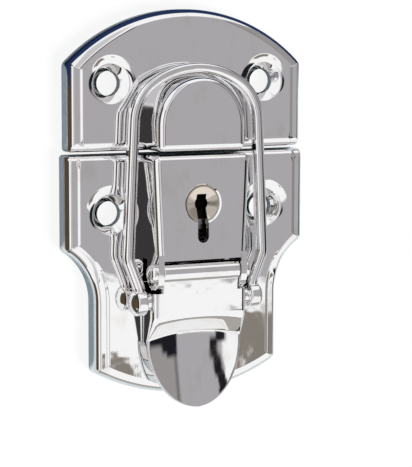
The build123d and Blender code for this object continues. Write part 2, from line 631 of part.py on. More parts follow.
def make_bolt_spring():
    """Bowed strip between the bolt's edge and the case wall."""
    y0 = PLUG_Y + SPRING_REACH
    y1 = PLUG_Y - SPRING_REACH
    back = CASE_T + SPRING_GAP + SPRING_T
    ends = [(case_half_width(y) - back, y) for y in (y0, y1)]
    middle = (bolt_half_width() + SPRING_GAP, PLUG_Y)
    inner = ThreePointArc(ends[0], middle, ends[1])
    outer = ThreePointArc((ends[1][0] + SPRING_T, y1), (middle[0] + SPRING_T, PLUG_Y),
                          (ends[0][0] + SPRING_T, y0))
    sides = [Line(ends[1], (ends[1][0] + SPRING_T, y1)), Line((ends[0][0] + SPRING_T, y0), ends[0])]
    strip = make_face(Curve() + [inner, outer] + sides)
    return extrude(Pos(0, 0, BOLT_Z) * strip, BOLT_T)


PARTS = {
    "catch_plate": make_catch_plate(),
    "catch_boss": make_catch_boss(),
    "base_plate": make_base_plate(),
    "lock_case": make_lock_case(),
    "hinge_pin": make_hinge_pin(),
    "lever": make_lever(),
    "bail": make_bail(),
    "bail_rivet_left": mirror(make_rivet(), about=Plane.YZ),
    "bail_rivet_right": make_rivet(),
    "lock_plug": make_lock_plug(),
    "plug_washer": make_plug_washer(),
    "plug_plate": make_plug_plate(),
    "lock_bolt": make_lock_bolt(),
    "guide_post_left": make_guide_post(-1),
    "guide_post_right": make_guide_post(1),
    "bolt_spring": make_bolt_spring(),
}

for name, solid in PARTS.items():
    export_step(solid, os.path.join("parts", name + ".step"))
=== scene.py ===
import bmesh
import bpy
import json
import numpy as np
from math import cos, radians, sin
from mathutils import Matrix, Vector
from mathutils.geometry import delaunay_2d_cdt


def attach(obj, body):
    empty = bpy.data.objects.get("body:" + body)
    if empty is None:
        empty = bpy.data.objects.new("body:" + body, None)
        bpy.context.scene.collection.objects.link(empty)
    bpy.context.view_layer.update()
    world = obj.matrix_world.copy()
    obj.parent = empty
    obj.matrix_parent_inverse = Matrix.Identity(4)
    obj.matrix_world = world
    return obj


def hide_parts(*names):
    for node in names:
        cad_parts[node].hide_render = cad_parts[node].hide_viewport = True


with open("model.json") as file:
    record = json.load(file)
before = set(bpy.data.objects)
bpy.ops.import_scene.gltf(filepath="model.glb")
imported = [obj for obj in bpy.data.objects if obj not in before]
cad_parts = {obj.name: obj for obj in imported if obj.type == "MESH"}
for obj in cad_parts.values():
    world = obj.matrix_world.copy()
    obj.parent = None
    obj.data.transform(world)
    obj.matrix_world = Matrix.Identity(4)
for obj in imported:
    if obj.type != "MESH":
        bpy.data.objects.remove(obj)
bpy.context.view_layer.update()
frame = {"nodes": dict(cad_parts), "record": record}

scene = bpy.context.scene
scene.view_settings.view_transform = "Standard"


# ---- camera ---------------------------------------------------------------------------
YAW, PITCH, ROLL = radians(26.23), radians(6.86), radians(0.14)
DISTANCE = 0.365
OFF_RIGHT, OFF_UP = 0.00517, 0.00431     # the camera's own step sideways and up
AIM_Y = -0.01982                         # what it looks at, on the line down the latch
SENSOR = 36
FOCAL = 1880 / 412                       # focal length in frame widths


def aim_camera():
    """Camera on a sphere round the latch: yaw and pitch from the plate's normal, then roll."""
    right = Vector((cos(YAW), 0, sin(YAW)))
    back = Vector((-sin(YAW) * cos(PITCH), sin(PITCH), cos(YAW) * cos(PITCH)))
    up = back.cross(right)
    right, up = cos(ROLL) * right + sin(ROLL) * up, cos(ROLL) * up - sin(ROLL) * right
    place = OFF_RIGHT * right + OFF_UP * up + DISTANCE * back + Vector((0, AIM_Y, 0))
    data = bpy.data.cameras.new("camera")
    data.sensor_fit = "HORIZONTAL"
    data.sensor_width = SENSOR
    data.lens = FOCAL * SENSOR
    data.clip_start = 0.01
    camera = bpy.data.objects.new("camera", data)
    camera.matrix_world = Matrix((
        (right.x, up.x, back.x, place.x),
        (right.y, up.y, back.y, place.y),
        (right.z, up.z, back.z, place.z),
        (0, 0, 0, 1)))
    scene.collection.objects.link(camera)
    scene.camera = camera


aim_camera()


# ---- node helpers ---------------------------------------------------------------------
def join(tree, value, socket):
    """Set a socket to a number or a colour, or link it to another node's output."""
    if isinstance(value, tuple):
        socket.default_value = (*value, 1)
    elif isinstance(value, (int, float)):
        socket.default_value = value
    else:
        tree.links.new(value, socket)


def calc(tree, operation, a, b):
    """Arithmetic on two values."""
    made = tree.nodes.new("ShaderNodeMath")
    made.operation = operation
    join(tree, a, made.inputs[0])
    join(tree, b, made.inputs[1])
    return made.outputs[0]


def ramp(tree, value, lo, hi):
    """Smooth step of value from lo to hi."""
    made = tree.nodes.new("ShaderNodeMapRange")
    made.interpolation_type = "SMOOTHSTEP"
    join(tree, value, made.inputs["Value"])
    made.inputs["From Min"].default_value = lo
    made.inputs["From Max"].default_value = hi
    return made.outputs[0]


def inside(tree, value, lo, hi, soft):
    """1 where value lies between lo and hi, with soft edges."""
    up = ramp(tree, value, lo - soft, lo + soft)
    down = ramp(tree, value, hi + soft, hi - soft)
    return calc(tree, "MULTIPLY", up, down)


def paint(tree, under, mask, rgb):
    """Colour laid over another where mask is 1."""
    mix = tree.nodes.new("ShaderNodeMix")
    mix.data_type = "RGBA"
    join(tree, mask, mix.inputs["Factor"])
    join(tree, under, mix.inputs[6])
    join(tree, rgb, mix.inputs[7])
    return mix.outputs[2]


def pick(tree, ray, other, shader):
    """One shader for rays of a kind, and another for the rest."""
    path = tree.nodes.new("ShaderNodeLightPath")
    mix = tree.nodes.new("ShaderNodeMixShader")
    tree.links.new(path.outputs[ray], mix.inputs[0])
    tree.links.new(other, mix.inputs[1])
    tree.links.new(shader, mix.inputs[2])
    return mix.outputs[0]


def finish_tree(tree, kind, shader):
    """Output node of a world or a material."""
    tree.links.new(shader, tree.nodes.new(kind).inputs[0])


def axes(tree, kind):
    """A texture coordinate, whole and split into x, y and z."""
    coords = tree.nodes.new("ShaderNodeTexCoord").outputs[kind]
    split = tree.nodes.new("ShaderNodeSeparateXYZ")
    tree.links.new(coords, split.inputs[0])
    return coords, split.outputs


# ---- studio ---------------------------------------------------------------------------
# What the chrome mirrors: cards and flags round the latch, by direction. Each is a colour, its x,
# y and z spans, and the softness of its edges across and upward. Later ones lie over earlier ones.
ALL = (-2, 2)
CARD, FLAG, WEDGE = (0.43, 0.415, 0.43), (0.015, 0.014, 0.016), (0.012, 0.012, 0.016)
TABLE, LEFT_ROOM_BROWN, NAVY = (0.25, 0.225, 0.195), (0.10, 0.07, 0.045), (0.02, 0.04, 0.12)
CARDS = [
    # grey card overhead, with a darker fold and side
    (CARD, (0.335, 0.585), (-0.143, 0.66), (0, 2), (0.006, 0.003)),
    (CARD, (0.16, 0.34), (-0.15, 0.66), (0, 2), (0.008, 0.02)),
    ((0.41, 0.395, 0.41), (0.578, 0.66), (-0.15, 0.66), (0, 2), (0.008, 0.02)),
    ((0.33, 0.315, 0.31), (0.605, 0.95), (-0.15, 0.66), (0, 2), (0.03, 0.03)),
    ((0.20, 0.185, 0.18), (0.588, 0.612), (-0.05, 0.60), (0, 2), (0.012, 0.05)),
    # black flag, narrow and swayed
    (FLAG, (0.148, 0.195), (-0.30, -0.05), (0, 2), (0.008, 0.03)),
    (FLAG, (0.188, 0.245), (-0.09, 0.10), (0, 2), (0.010, 0.04)),
    (FLAG, (0.170, 0.222), (0.06, 0.25), (0, 2), (0.010, 0.04)),
    (FLAG, (0.158, 0.205), (0.20, 0.62), (0, 2), (0.008, 0.06)),
    # black flag, a wedge
    (WEDGE, (0.592, 0.655), (-0.25, 0.030), (0, 2), (0.008, 0.03)),
    (WEDGE, (0.645, 0.675), (-0.25, -0.01), (0, 2), (0.008, 0.03)),
    (WEDGE, (0.665, 0.90), (-0.25, -0.07), (0, 2), (0.008, 0.03)),
    # edges of a table
    (TABLE, (0.448, 0.54), (-0.21, -0.159), (0, 2), (0.004, 0.003)),
    (TABLE, (0.376, 0.400), (-0.200, -0.186), (0, 2), (0.003, 0.003)),
    # dark box where the camera stands
    ((0.045, 0.042, 0.042), (-0.45, -0.31), (-0.34, 0.26), (0, 2), (0.02, 0.03)),
    # room in front, a dark gap over it, and the room on the left, on the right and behind
    ((0.42, 0.40, 0.37), ALL, (-2, -0.80), (-2, 0.22), (0.02, 0.02)),
    ((0.05, 0.042, 0.038), ALL, (-2, -0.80), (0.22, 0.27), (0.012, 0.012)),
    (LEFT_ROOM_BROWN, (-2, -0.84), ALL, (-2, 0.34), (0.03, 0.03)),
    ((0.30, 0.29, 0.29), (0.90, 2), ALL, (-2, 0.3), (0.04, 0.04)),
    (NAVY, ALL, (0.90, 2), (-2, 0.06), (0.03, 0.02)),
    # ceiling
    ((0.62, 0.61, 0.62), (-0.32, 0.08), (-0.5, 0.9), (0.2, 2), (0.05, 0.05)),
]
WHITE = (1.0, 1.0, 1.0)
FILL_COLOUR, FILL_STRENGTH = (0.84, 0.92, 1.0), 0.33


def background(tree, rgb, strength):
    """Even light of a colour and strength from all round."""
    light = tree.nodes.new("ShaderNodeBackground")
    light.inputs["Strength"].default_value = strength
    join(tree, rgb, light.inputs["Color"])
    return light.outputs[0]


def make_studio():
    """White studio: mirrors see the cards, matt surfaces a plain light, and the camera white."""
    world = bpy.data.worlds.new("studio")
    scene.world = world
    world.use_nodes = True
    tree = world.node_tree
    tree.nodes.clear()
    _, directions = axes(tree, "Generated")
    colour = WHITE
    for rgb, *spans, (across, upward) in CARDS:
        mask = None
        for axis, span, soft in zip(directions, spans, (across, upward, across)):
            if span is ALL:
                continue
            edge = inside(tree, axis, *span, soft)
            mask = edge if mask is None else calc(tree, "MULTIPLY", mask, edge)
        colour = paint(tree, colour, mask, rgb)
    seen = background(tree, FILL_COLOUR, FILL_STRENGTH)
    seen = pick(tree, "Is Glossy Ray", seen, background(tree, colour, 1.0))
    seen = pick(tree, "Is Camera Ray", seen, background(tree, WHITE, 1.0))
    finish_tree(tree, "ShaderNodeOutputWorld", seen)


def make_key():
    """Soft key light from the lower right, high up: it lays the shadow to the upper left."""
    data = bpy.data.lights.new("key", "SUN")
    data.energy = 2.6
    data.angle = radians(25)
    data.color = (1.0, 0.96, 0.9)
    lamp = bpy.data.objects.new("key", data)
    lamp.rotation_euler = Vector((0.62, -0.5, 0.9)).to_track_quat("Z", "Y").to_euler()
    lamp.visible_glossy = False
    scene.collection.objects.link(lamp)


FLOOR_HALF, FLOOR_Z = 2.0, -0.0001
FLOOR_GLOW, FLOOR_MATTE = 0.88, 0.14
# Floor colours for the chrome only: painted reflections of a darker room and painted shade beside
# the latch
FLOOR_NEAR, FLOOR_FRONT = (0.76, 0.84, 0.88), (0.46, 0.44, 0.41)
FRONT_Y = (-0.060, -0.095)       # where the floor turns to each other colour
LEFT_X = (-0.0257, -0.0280)
ARCH_MIDDLE, ARCH_REACH, ARCH_Y = (0, -0.00682, FLOOR_Z), (0.0346, 0.0352), (0.010, 0.016)


def make_floor():
    """Pale floor. The camera sees it nearly white with the shadow kept. The chrome sees a painted
    reflection instead: pale blue and shaded close by, greyer far in front, brown beyond the left
    and navy in an arch beyond the far side, standing in for a darker room and the shade there."""
    data = bpy.data.meshes.new("floor")
    half = FLOOR_HALF
    data.from_pydata([(-half, -half, 0), (half, -half, 0), (half, half, 0), (-half, half, 0)],
                     [], [(0, 1, 2, 3)])
    data.transform(Matrix.Translation((0, 0, FLOOR_Z)))
    floor = bpy.data.objects.new("floor", data)
    scene.collection.objects.link(floor)
    material = bpy.data.materials.new("pale_floor")
    material.use_nodes = True
    tree = material.node_tree
    tree.nodes.clear()
    place, (x, y, _) = axes(tree, "Object")
    from_arch = tree.nodes.new("ShaderNodeVectorMath")
    from_arch.operation = "DISTANCE"
    from_arch.inputs[1].default_value = ARCH_MIDDLE
    tree.links.new(place, from_arch.inputs[0])
    behind = calc(tree, "MULTIPLY", ramp(tree, from_arch.outputs["Value"], *ARCH_REACH),
                  ramp(tree, y, *ARCH_Y))
    # painted reflection: the floor's colour as the chrome sees it, greyer in front, brown past the
    # left, navy behind
    painted_reflection = paint(tree, FLOOR_NEAR, ramp(tree, y, *FRONT_Y), FLOOR_FRONT)
    painted_reflection = paint(tree, painted_reflection, ramp(tree, x, *LEFT_X), LEFT_ROOM_BROWN)
    painted_reflection = paint(tree, painted_reflection, behind, NAVY)
    near = tree.nodes.new("ShaderNodeBsdfDiffuse")
    tree.links.new(painted_reflection, near.inputs["Color"])
    matte = tree.nodes.new("ShaderNodeBsdfDiffuse")
    matte.inputs["Color"].default_value = (FLOOR_MATTE, FLOOR_MATTE, FLOOR_MATTE, 1)
    glow = tree.nodes.new("ShaderNodeEmission")
    glow.inputs["Strength"].default_value = FLOOR_GLOW
    both = tree.nodes.new("ShaderNodeAddShader")
    tree.links.new(glow.outputs[0], both.inputs[0])
    tree.links.new(matte.outputs[0], both.inputs[1])
    finish_tree(tree, "ShaderNodeOutputMaterial",
                pick(tree, "Is Camera Ray", near.outputs[0], both.outputs[0]))
    data.materials.append(material)


make_studio()
make_key()
make_floor()


# ---- finishes -------------------------------------------------------------------------
RUBBED_SCALE, RUBBED_FROM, RUBBED_TO = 260, 0.53, 0.74
RIPPLE_SCALE = 170
# painted shade: near-black colour laid on metal below a given height, for the shade down a keyhole
PAINTED_KEYHOLE_SHADE = (0.012, 0.011, 0.01)


def noise(tree, scale, detail, stretch=(1, 1, 1)):
    """Noise on Object coordinates, stretched along an axis where the polish runs that way."""
    coords = tree.nodes.new("ShaderNodeTexCoord")
    place = tree.nodes.new("ShaderNodeMapping")
    place.inputs["Scale"].default_value = stretch
    tree.links.new(coords.outputs["Object"], place.inputs["Vector"])
    made = tree.nodes.new("ShaderNodeTexNoise")
    made.inputs["Scale"].default_value = scale
    made.inputs["Detail"].default_value = detail
    tree.links.new(place.outputs[0], made.inputs["Vector"])
    return made.outputs[0]


def relief(tree, height, distance, under=None):
    """Bump of a height over another bump."""
    made = tree.nodes.new("ShaderNodeBump")
    made.inputs["Distance"].default_value = distance
    tree.links.new(height, made.inputs["Height"])
    if under:
        tree.links.new(under, made.inputs["Normal"])
    return made.outputs[0]


def metal(name, rgb, dull, roughness, wear, grain, ripple, shade=None):
    """Plated or bare metal. Slow ripples of the pressed sheet and a fine grain move its surface,
    rubbed spots are duller, and where shade is given all below that height gets painted shade: a
    near-black colour and a rougher finish standing in for the shade down a keyhole."""
    material = bpy.data.materials.new(name)
    material.use_nodes = True
    tree = material.node_tree
    shader = tree.nodes["Principled BSDF"]
    shader.inputs["Metallic"].default_value = 1
    rubbed = ramp(tree, noise(tree, RUBBED_SCALE, 8, (1, 0.55, 1)), RUBBED_FROM, RUBBED_TO)
    fine = noise(tree, grain, 4, (1, 0.3, 1))
    rough = calc(tree, "ADD", calc(tree, "MULTIPLY", rubbed, wear),
                 calc(tree, "MULTIPLY", fine, roughness))
    colour = paint(tree, rgb, calc(tree, "MULTIPLY", rubbed, 0.6), dull)
    if shade is not None:
        # painted shade down the keyhole: below the height `shade` the colour turns near-black and
        # rougher
        _, (_, _, z) = axes(tree, "Object")
        deep = ramp(tree, z, shade, shade - 0.0002)
        colour = paint(tree, colour, deep, PAINTED_KEYHOLE_SHADE)
        rough = calc(tree, "ADD", rough, calc(tree, "MULTIPLY", deep, 0.5))
    tree.links.new(colour, shader.inputs["Base Color"])
    tree.links.new(rough, shader.inputs["Roughness"])
    normal = relief(tree, noise(tree, RIPPLE_SCALE, 2), ripple)
    tree.links.new(relief(tree, fine, ripple * 0.04, normal), shader.inputs["Normal"])
    return material


chrome = metal("chrome_plate", (0.91, 0.905, 0.91), (0.80, 0.78, 0.74), 0.035, 0.05, 2600, 2e-5)
# satin plug: painted shade on all of it below 9.4 mm, down its keyhole slot
satin = metal("satin_nickel", (0.74, 0.67, 0.58), (0.55, 0.49, 0.41), 0.20, 0.12, 1500, 4e-5,
              shade=0.0094)
# plain steel: dark partly as oiled steel and partly as painted shade, so the lock's insides seen
# through the slot read dark
steel = metal("plain_steel", (0.16, 0.155, 0.15), (0.09, 0.075, 0.06), 0.5, 0.2, 1200, 6e-5)
spring = metal("spring_steel", (0.22, 0.22, 0.24), (0.12, 0.11, 0.12), 0.4, 0.2, 1200, 6e-5)
FINISH = {"chrome_plate": chrome, "satin_nickel": satin, "plain_steel": steel,
          "spring_steel": spring}

slots = {row["node"]: row["material_slot"] for row in frame["record"]["subparts"]}
for name, obj in frame["nodes"].items():
    obj.data.materials.clear()
    obj.data.materials.append(FINISH[slots[name]])


# ---- plan outlines --------------------------------------------------------------------
# Sizes below are in millimetres, as in the drawing; `piece` brings them to metres.
# A side of an outline is a line (inward direction n and level d, where n.p = d) or an arc
# (centre, radius, and +1 where the plate lies inside the circle or -1 where it lies outside).
def straight(nx, ny, level):
    return {"n": np.array((nx, ny), float), "d": level}


def curved(cx, cy, radius, inner=1):
    return {"c": np.array((cx, cy), float), "r": radius, "g": inner}


def foot(side, p, inset):
    """Nearest point to p of a side moved in by inset: a step along the line's normal or the
    circle's radius."""
    if "n" in side:
        return p + side["n"] * (side["d"] + inset - side["n"] @ p)
    away = p - side["c"]
    return side["c"] + away / np.hypot(*away) * (side["r"] - side["g"] * inset)


def meet(a, b, inset, near):
    """Crossing of two sides moved in by inset: two lines cross where both equations hold, and a
    line crosses a circle half a chord to either side of its nearest point; the root near `near`
    is kept."""
    if "n" in a and "n" in b:
        return np.linalg.solve(np.array((a["n"], b["n"])), np.array((a["d"], b["d"])) + inset)
    line, circle = (a, b) if "n" in a else (b, a)
    middle = foot(line, circle["c"], inset)
    radius = circle["r"] - circle["g"] * inset
    half = np.sqrt(max(radius ** 2 - np.sum((middle - circle["c"]) ** 2), 0))
    along = np.array((-line["n"][1], line["n"][0])) * half
    return min(middle + along, middle - along, key=lambda p: np.hypot(*(p - near)))


def turn(centre, start, end, share):
    """Points of the short arc round centre from start to end: the radius turned by share of the
    angle."""
    a, b = start - centre, end - centre
    first = np.arctan2(a[1], a[0])
    swing = (np.arctan2(b[1], b[0]) - first + np.pi) % (2 * np.pi) - np.pi
    angle = first + swing * share
    return centre + np.hypot(*a) * np.stack((np.cos(angle), np.sin(angle)), axis=-1)


def outline(sides, corners, inset):
    """Closed plan curve at an inset. corners[k] = (point, radius function or None where the sides
    are tangent) follows sides[k] = (side, shares), and shares are the places of its points from
    0 to 1."""
    ends, fillets = [], []
    for k, (point, radius) in enumerate(corners):
        a, b = sides[k][0], sides[(k + 1) % len(sides)][0]
        if radius is None:
            line, circle = (a, b) if "n" in a else (b, a)
            end = foot(line, circle["c"], inset)
            ends.append((end, end))
            fillets.append(np.zeros((0, 2)))
            continue
        q = radius(inset)
        centre = meet(a, b, inset + q, point)
        start, end = foot(a, centre, inset), foot(b, centre, inset)
        ends.append((start, end))
        fillets.append(turn(centre, start, end, np.linspace(0, 1, 12)[1:-1]))
    runs = []
    for k, (side, share) in enumerate(sides):
        start, end = ends[k - 1][1], ends[k][0]
        if "n" in side:
            runs.append(start + (end - start) * share[:, None])
        else:
            runs.append(turn(side["c"], start, end, share))
        runs.append(fillets[k])
    return np.vstack(runs)


# ---- mesh helpers ---------------------------------------------------------------------
def on_circle(angle):
    """Points of a circle of radius 1: (cos, sin) of each angle."""
    return np.stack((np.cos(angle), np.sin(angle)), axis=1)


def lattice(rows):
    """Quads between neighbouring closed rows of points: the last column meets the first."""
    count, width = rows.shape[:2]
    here = np.arange(count * width).reshape(count, width)
    here = np.hstack((here, here[:, :1]))
    quads = np.stack((here[:-1, :-1], here[:-1, 1:], here[1:, 1:], here[1:, :-1]), axis=-1)
    return rows.reshape(-1, 3), quads.reshape(-1, 4)


def fill(rim, holes, z):
    """Flat sheet between closed plan curves: the triangles of the rim whose middles lie in no
    hole."""
    curves = [rim] + [h["points"] for h in holes]
    sizes = np.cumsum([0] + [len(c) for c in curves])
    edges = []
    for k, c in enumerate(curves):
        ids = np.arange(len(c)) + sizes[k]
        edges += np.stack((ids, np.roll(ids, -1)), axis=1).tolist()
    points, _, faces, *_ = delaunay_2d_cdt([Vector(p) for p in np.vstack(curves)], edges, [], 1,
                                           1e-7)
    points = np.array(points)
    faces = np.array(faces)
    middle = points[faces].mean(axis=1)
    keep = np.ones(len(faces), bool)
    for h in holes:
        keep &= np.hypot(*(middle - h["centre"]).T) > h["radius"] * 0.998
    return np.column_stack((points, np.full(len(points), z))), faces[keep]


def piece(name, parts, body, node, crease):
    """One closed chrome piece from patches of points and faces, in place of a solid: its edges
    are welded and its faces turned outward."""
    starts = np.cumsum([0] + [len(p) for p, _ in parts])
    faces = [face for (_, f), s in zip(parts, starts) for face in (f + s).tolist()]
    data = bpy.data.meshes.new(name)
    data.from_pydata((np.vstack([p for p, _ in parts]) * 0.001).tolist(), [], faces)
    made = bmesh.new()
    made.from_mesh(data)
    bmesh.ops.remove_doubles(made, verts=made.verts, dist=2e-7)
    bmesh.ops.dissolve_degenerate(made, edges=made.edges, dist=1e-7)
    bmesh.ops.recalc_face_normals(made, faces=made.faces)
    made.to_mesh(data)
    made.free()
    data.shade_smooth()
    data.set_sharp_from_angle(angle=radians(crease))
    data.materials.append(chrome)
    obj = bpy.data.objects.new(name, data)
    scene.collection.objects.link(obj)
    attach(obj, body)
    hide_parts(node)


def smooth(t):
    """Smooth step: 3t^2 - 2t^3 on t kept within 0 and 1."""
    t = np.clip(t, 0, 1)
    return t * t * (3 - 2 * t)


def slope(t, start=0.14, end=0.14):
    """Steady slope from 0 to 1 whose two ends bend in as parabolas, over the shares `start` and
    `end` of its run."""
    t = np.clip(t, 0, 1)
    top = 1 - (start + end) / 2
    low = t ** 2 / (2 * start)
    high = top - (1 - t) ** 2 / (2 * end)
    return np.where(t < start, low, np.where(t > 1 - end, high, t - start / 2)) / top


def rounded(points, radii, steps=8):
    """Open profile with its inner corners rounded: each corner gives way to the arc that touches
    both its sides, whose centre lies on the bisector at radius / sin(half the angle)."""
    points = [np.array(p, float) for p in points]
    out = [points[0]]
    for before, corner, after, radius in zip(points, points[1:], points[2:], radii):
        a = (before - corner) / np.hypot(*(before - corner))
        b = (after - corner) / np.hypot(*(after - corner))
        half = np.arccos(np.clip(a @ b, -1, 1)) / 2
        if radius == 0 or half > 1.57:
            out.append(corner)
            continue
        reach = radius / np.tan(half)
        centre = corner + (a + b) / np.hypot(*(a + b)) * radius / np.sin(half)
        out += list(turn(centre, corner + a * reach, corner + b * reach,
                         np.linspace(0, 1, steps)))
    out.append(points[-1])
    return np.array(out)


def spin(profile, x, y, count=72):
    """Profile of (radius, height) turned round an upright line at (x, y)."""
    angle = np.linspace(0, 2 * np.pi, count, endpoint=False)
    radius = profile[:, :1]
    heights = np.broadcast_to(profile[:, 1:], (len(profile), count))
    return np.stack((x + radius * np.cos(angle), y + radius * np.sin(angle), heights), axis=-1)


# ---- pressed plates -------------------------------------------------------------------
SHEET = 1.2
RIM, PANEL = 4.14, 4.4                      # heights of the border and of the panel
BORDER, STEP, BAND = 2.0, 0.6, 2.7          # border's width, step's run, and where the rows end
RIM_ROUND, RIM_DROP = 1.0, 1.8              # rounded rim: its run in plan and its drop
ARCH_ROUND, PARTING_ROUND = 2.2, 1.6
ARCH_FROM, ARCH_OVER = 0.2, 0.4             # how far an edge faces up or down where the round grows
HOLE, HOLLOW, MOUTH = 2.35, 5.45, 4.0       # radii of a screw hole, its dimple and its cone
HOLLOW_ANGLE = 7.5
DIMPLE = HOLLOW + 0.1
SCREW_X = 16.1


def quarter(radius, inset):
    """Drop of a quarter round at an inset from its foot:
    radius - sqrt(radius^2 - (radius - inset)^2)."""
    return radius - np.sqrt(radius ** 2 - np.clip(radius - inset, 0, radius) ** 2)


def skin(rim, parting, arch):
    """Height of a plate's skin. Along the sides a rounded rim, a flat border and a steady step
    lead up to the panel; where arch is 1 one large round does. The parting edge is rolled down."""
    side = RIM + (PANEL - RIM) * slope((rim - BORDER) / STEP)
    side = side - quarter(RIM_ROUND, rim) * RIM_DROP / RIM_ROUND
    z = side + (PANEL - quarter(ARCH_ROUND, rim) - side) * arch
    return z - quarter(PARTING_ROUND, parting)


def dimple():
    """Section of a dimpled screw hole as (radius, height): over the shallow dimple, down the
    45 degree cone, through the hole and back under it one sheet below."""
    cone_foot = PANEL - MOUTH + HOLE
    under = cone_foot - SHEET * np.sqrt(2)
    sunk = np.tan(np.radians(HOLLOW_ANGLE))
    meet_r = (MOUTH - sunk * HOLLOW) / (1 - sunk)
    return rounded([(DIMPLE, PANEL), (HOLLOW, PANEL), (meet_r, PANEL - sunk * (HOLLOW - meet_r)),
                    (HOLE, cone_foot), (HOLE, under), (MOUTH + 0.5, PANEL - SHEET),
                    (DIMPLE, PANEL - SHEET)], (0.0, 0.6, 0.18, 0.12, 0.4))


def plate(name, node, sides, corners, half_width, edge_y, screw_y):
    """Hollow pressing. Closed rows run round the outline: in over the rim, step and panel edge,
    down the skirt, in along its foot and up inside. Two dimpled rings and two flat sheets close
    it."""
    first = outline(sides, corners, 0)
    tangent = np.roll(first, -1, axis=0) - np.roll(first, 1, axis=0)
    facing = np.abs(tangent[:, 0]) / np.hypot(*tangent.T)
    arch = smooth((facing - ARCH_FROM) / ARCH_OVER)
    from_edge = np.abs(first[:, 1] - edge_y)
    arch[from_edge < 10] = 0
    flat = from_edge < 0.45

    def row(inset, shift):
        p = outline(sides, corners, inset)
        rim = np.where(flat, half_width - np.abs(p[:, 0]), inset)
        z = skin(rim, np.abs(p[:, 1] - edge_y), arch) - shift
        return np.column_stack((p, z))

    over = [BAND] + list(np.linspace(BORDER + STEP, BORDER, 14)) + [1.7, 1.4, 1.1]
    over += list(RIM_ROUND * (1 - np.cos(np.linspace(np.pi / 2, 0, 18))))
    rows = [row(inset, 0) for inset in over]
    top = rows[-1]
    rows += [top * (1, 1, share) for share in (0.6, 0.25, 0.05)]
    rows += [np.column_stack((outline(sides, corners, inset), np.zeros(len(top))))
             for inset in (0.06, 0.6, 1.14)]
    wall = row(SHEET, SHEET + 0.25)
    rows += [wall * (1, 1, 0.05), wall * (1, 1, 0.5), wall, row(SHEET + 0.08, SHEET + 0.07)]
    rows += [row(inset, SHEET) for inset in (SHEET + 0.3, 1.7, 1.9, 2.1, 2.3, 2.6, BAND)]
    rows = np.array(rows)
    holes, patches = [], [lattice(rows)]
    for side in (-1, 1):
        ring = spin(dimple(), side * SCREW_X, screw_y)
        patches.append(lattice(ring))
        holes.append({"points": ring[0, :, :2], "centre": np.array((side * SCREW_X, screw_y)),
                      "radius": DIMPLE})
    patches.append(fill(rows[0, :, :2], holes, PANEL))
    patches.append(fill(rows[-1, :, :2], holes, PANEL - SHEET))
    piece(name, patches, "base", node, 40)


def rim_corner(inset):
    return max(1.6 - inset, 0.3)


def parting_corner(inset):
    return max(0.7 - inset, 0.05)


# Shares of the points along a side: close together near its ends, near its start, or even.
ends = np.concatenate((np.linspace(0, 0.065, 17), np.linspace(0.065, 0.935, 24)[1:-1],
                       np.linspace(0.935, 1, 17)))
rising = np.concatenate((np.linspace(0, 0.1, 12), np.linspace(0.1, 1, 12)[1:]))
falling = 1 - rising[::-1]
even = np.linspace(0, 1, 16)

CATCH_HALF, CATCH_EDGE, CATCH_SHOULDER = 24.4, 1.2, 17.6
CATCH_ARC = curved(0, -6.82, 34.52)
catch_sides = [(straight(0, 1, CATCH_EDGE), ends), (straight(-1, 0, -CATCH_HALF), rising),
               (CATCH_ARC, np.linspace(0, 1, 110)), (straight(1, 0, -CATCH_HALF), falling)]
catch_corners = [(np.array((CATCH_HALF, CATCH_EDGE)), parting_corner),
                 (np.array((CATCH_HALF, CATCH_SHOULDER)), rim_corner),
                 (np.array((-CATCH_HALF, CATCH_SHOULDER)), rim_corner),
                 (np.array((-CATCH_HALF, CATCH_EDGE)), parting_corner)]
plate("pressed_catch_plate", "catch_plate", catch_sides, catch_corners, CATCH_HALF, CATCH_EDGE,
      13.9)

BASE_HALF, BASE_EDGE, BASE_SHOULDER = 25.0, 0.6, -17.4
WAIST_HALF, WAIST_FOOT = 19.2, -40.79
WAIST_X, WAIST_Y, WAIST_R = 30.7, -27.39, 11.5
BASE_ARC = curved(0, -7.94, 38.05)
base_sides = [(straight(0, -1, -BASE_EDGE), ends), (straight(1, 0, -BASE_HALF), rising),
              (curved(-WAIST_X, WAIST_Y, WAIST_R, -1), even),
              (straight(1, 0, -WAIST_HALF), even), (BASE_ARC, np.linspace(0, 1, 80)),
              (straight(-1, 0, -WAIST_HALF), even),
              (curved(WAIST_X, WAIST_Y, WAIST_R, -1), even),
              (straight(-1, 0, -BASE_HALF), falling)]
base_corners = [(np.array((-BASE_HALF, BASE_EDGE)), parting_corner),
                (np.array((-BASE_HALF, BASE_SHOULDER)), rim_corner),
                (None, None),
                (np.array((-WAIST_HALF, WAIST_FOOT)), rim_corner),
                (np.array((WAIST_HALF, WAIST_FOOT)), rim_corner),
                (None, None),
                (np.array((BASE_HALF, BASE_SHOULDER)), rim_corner),
                (np.array((BASE_HALF, BASE_EDGE)), parting_corner)]
plate("pressed_base_plate", "base_plate", base_sides, base_corners, BASE_HALF, BASE_EDGE, -10.6)


# ---- thumb lever ----------------------------------------------------------------------
LEVER_SHEET = 1.0
HINGE = np.array((-21.75, 8.7))             # y and z of the pin
KNUCKLE_R, KNUCKLE_HALF = 1.9, 8.0
HALF, FLAT, LEVER_FOOT = 9.9, 9.6, 4.7      # half width, height of the flat and of the walls' foot
NECK, BEND, TAB, TIP = -25.5, -29.6, -35.2, -48.0   # along the lever: where each stretch starts
FOOT_R, FOOT_MIDDLE = 40, -73.75            # arched line where the slope meets the dish
DISH_LOW, DISH_Y, DISH_LONG = 5.7, -33.5, 75
DISH_RISE, DISH_BEND = 0.23, 7


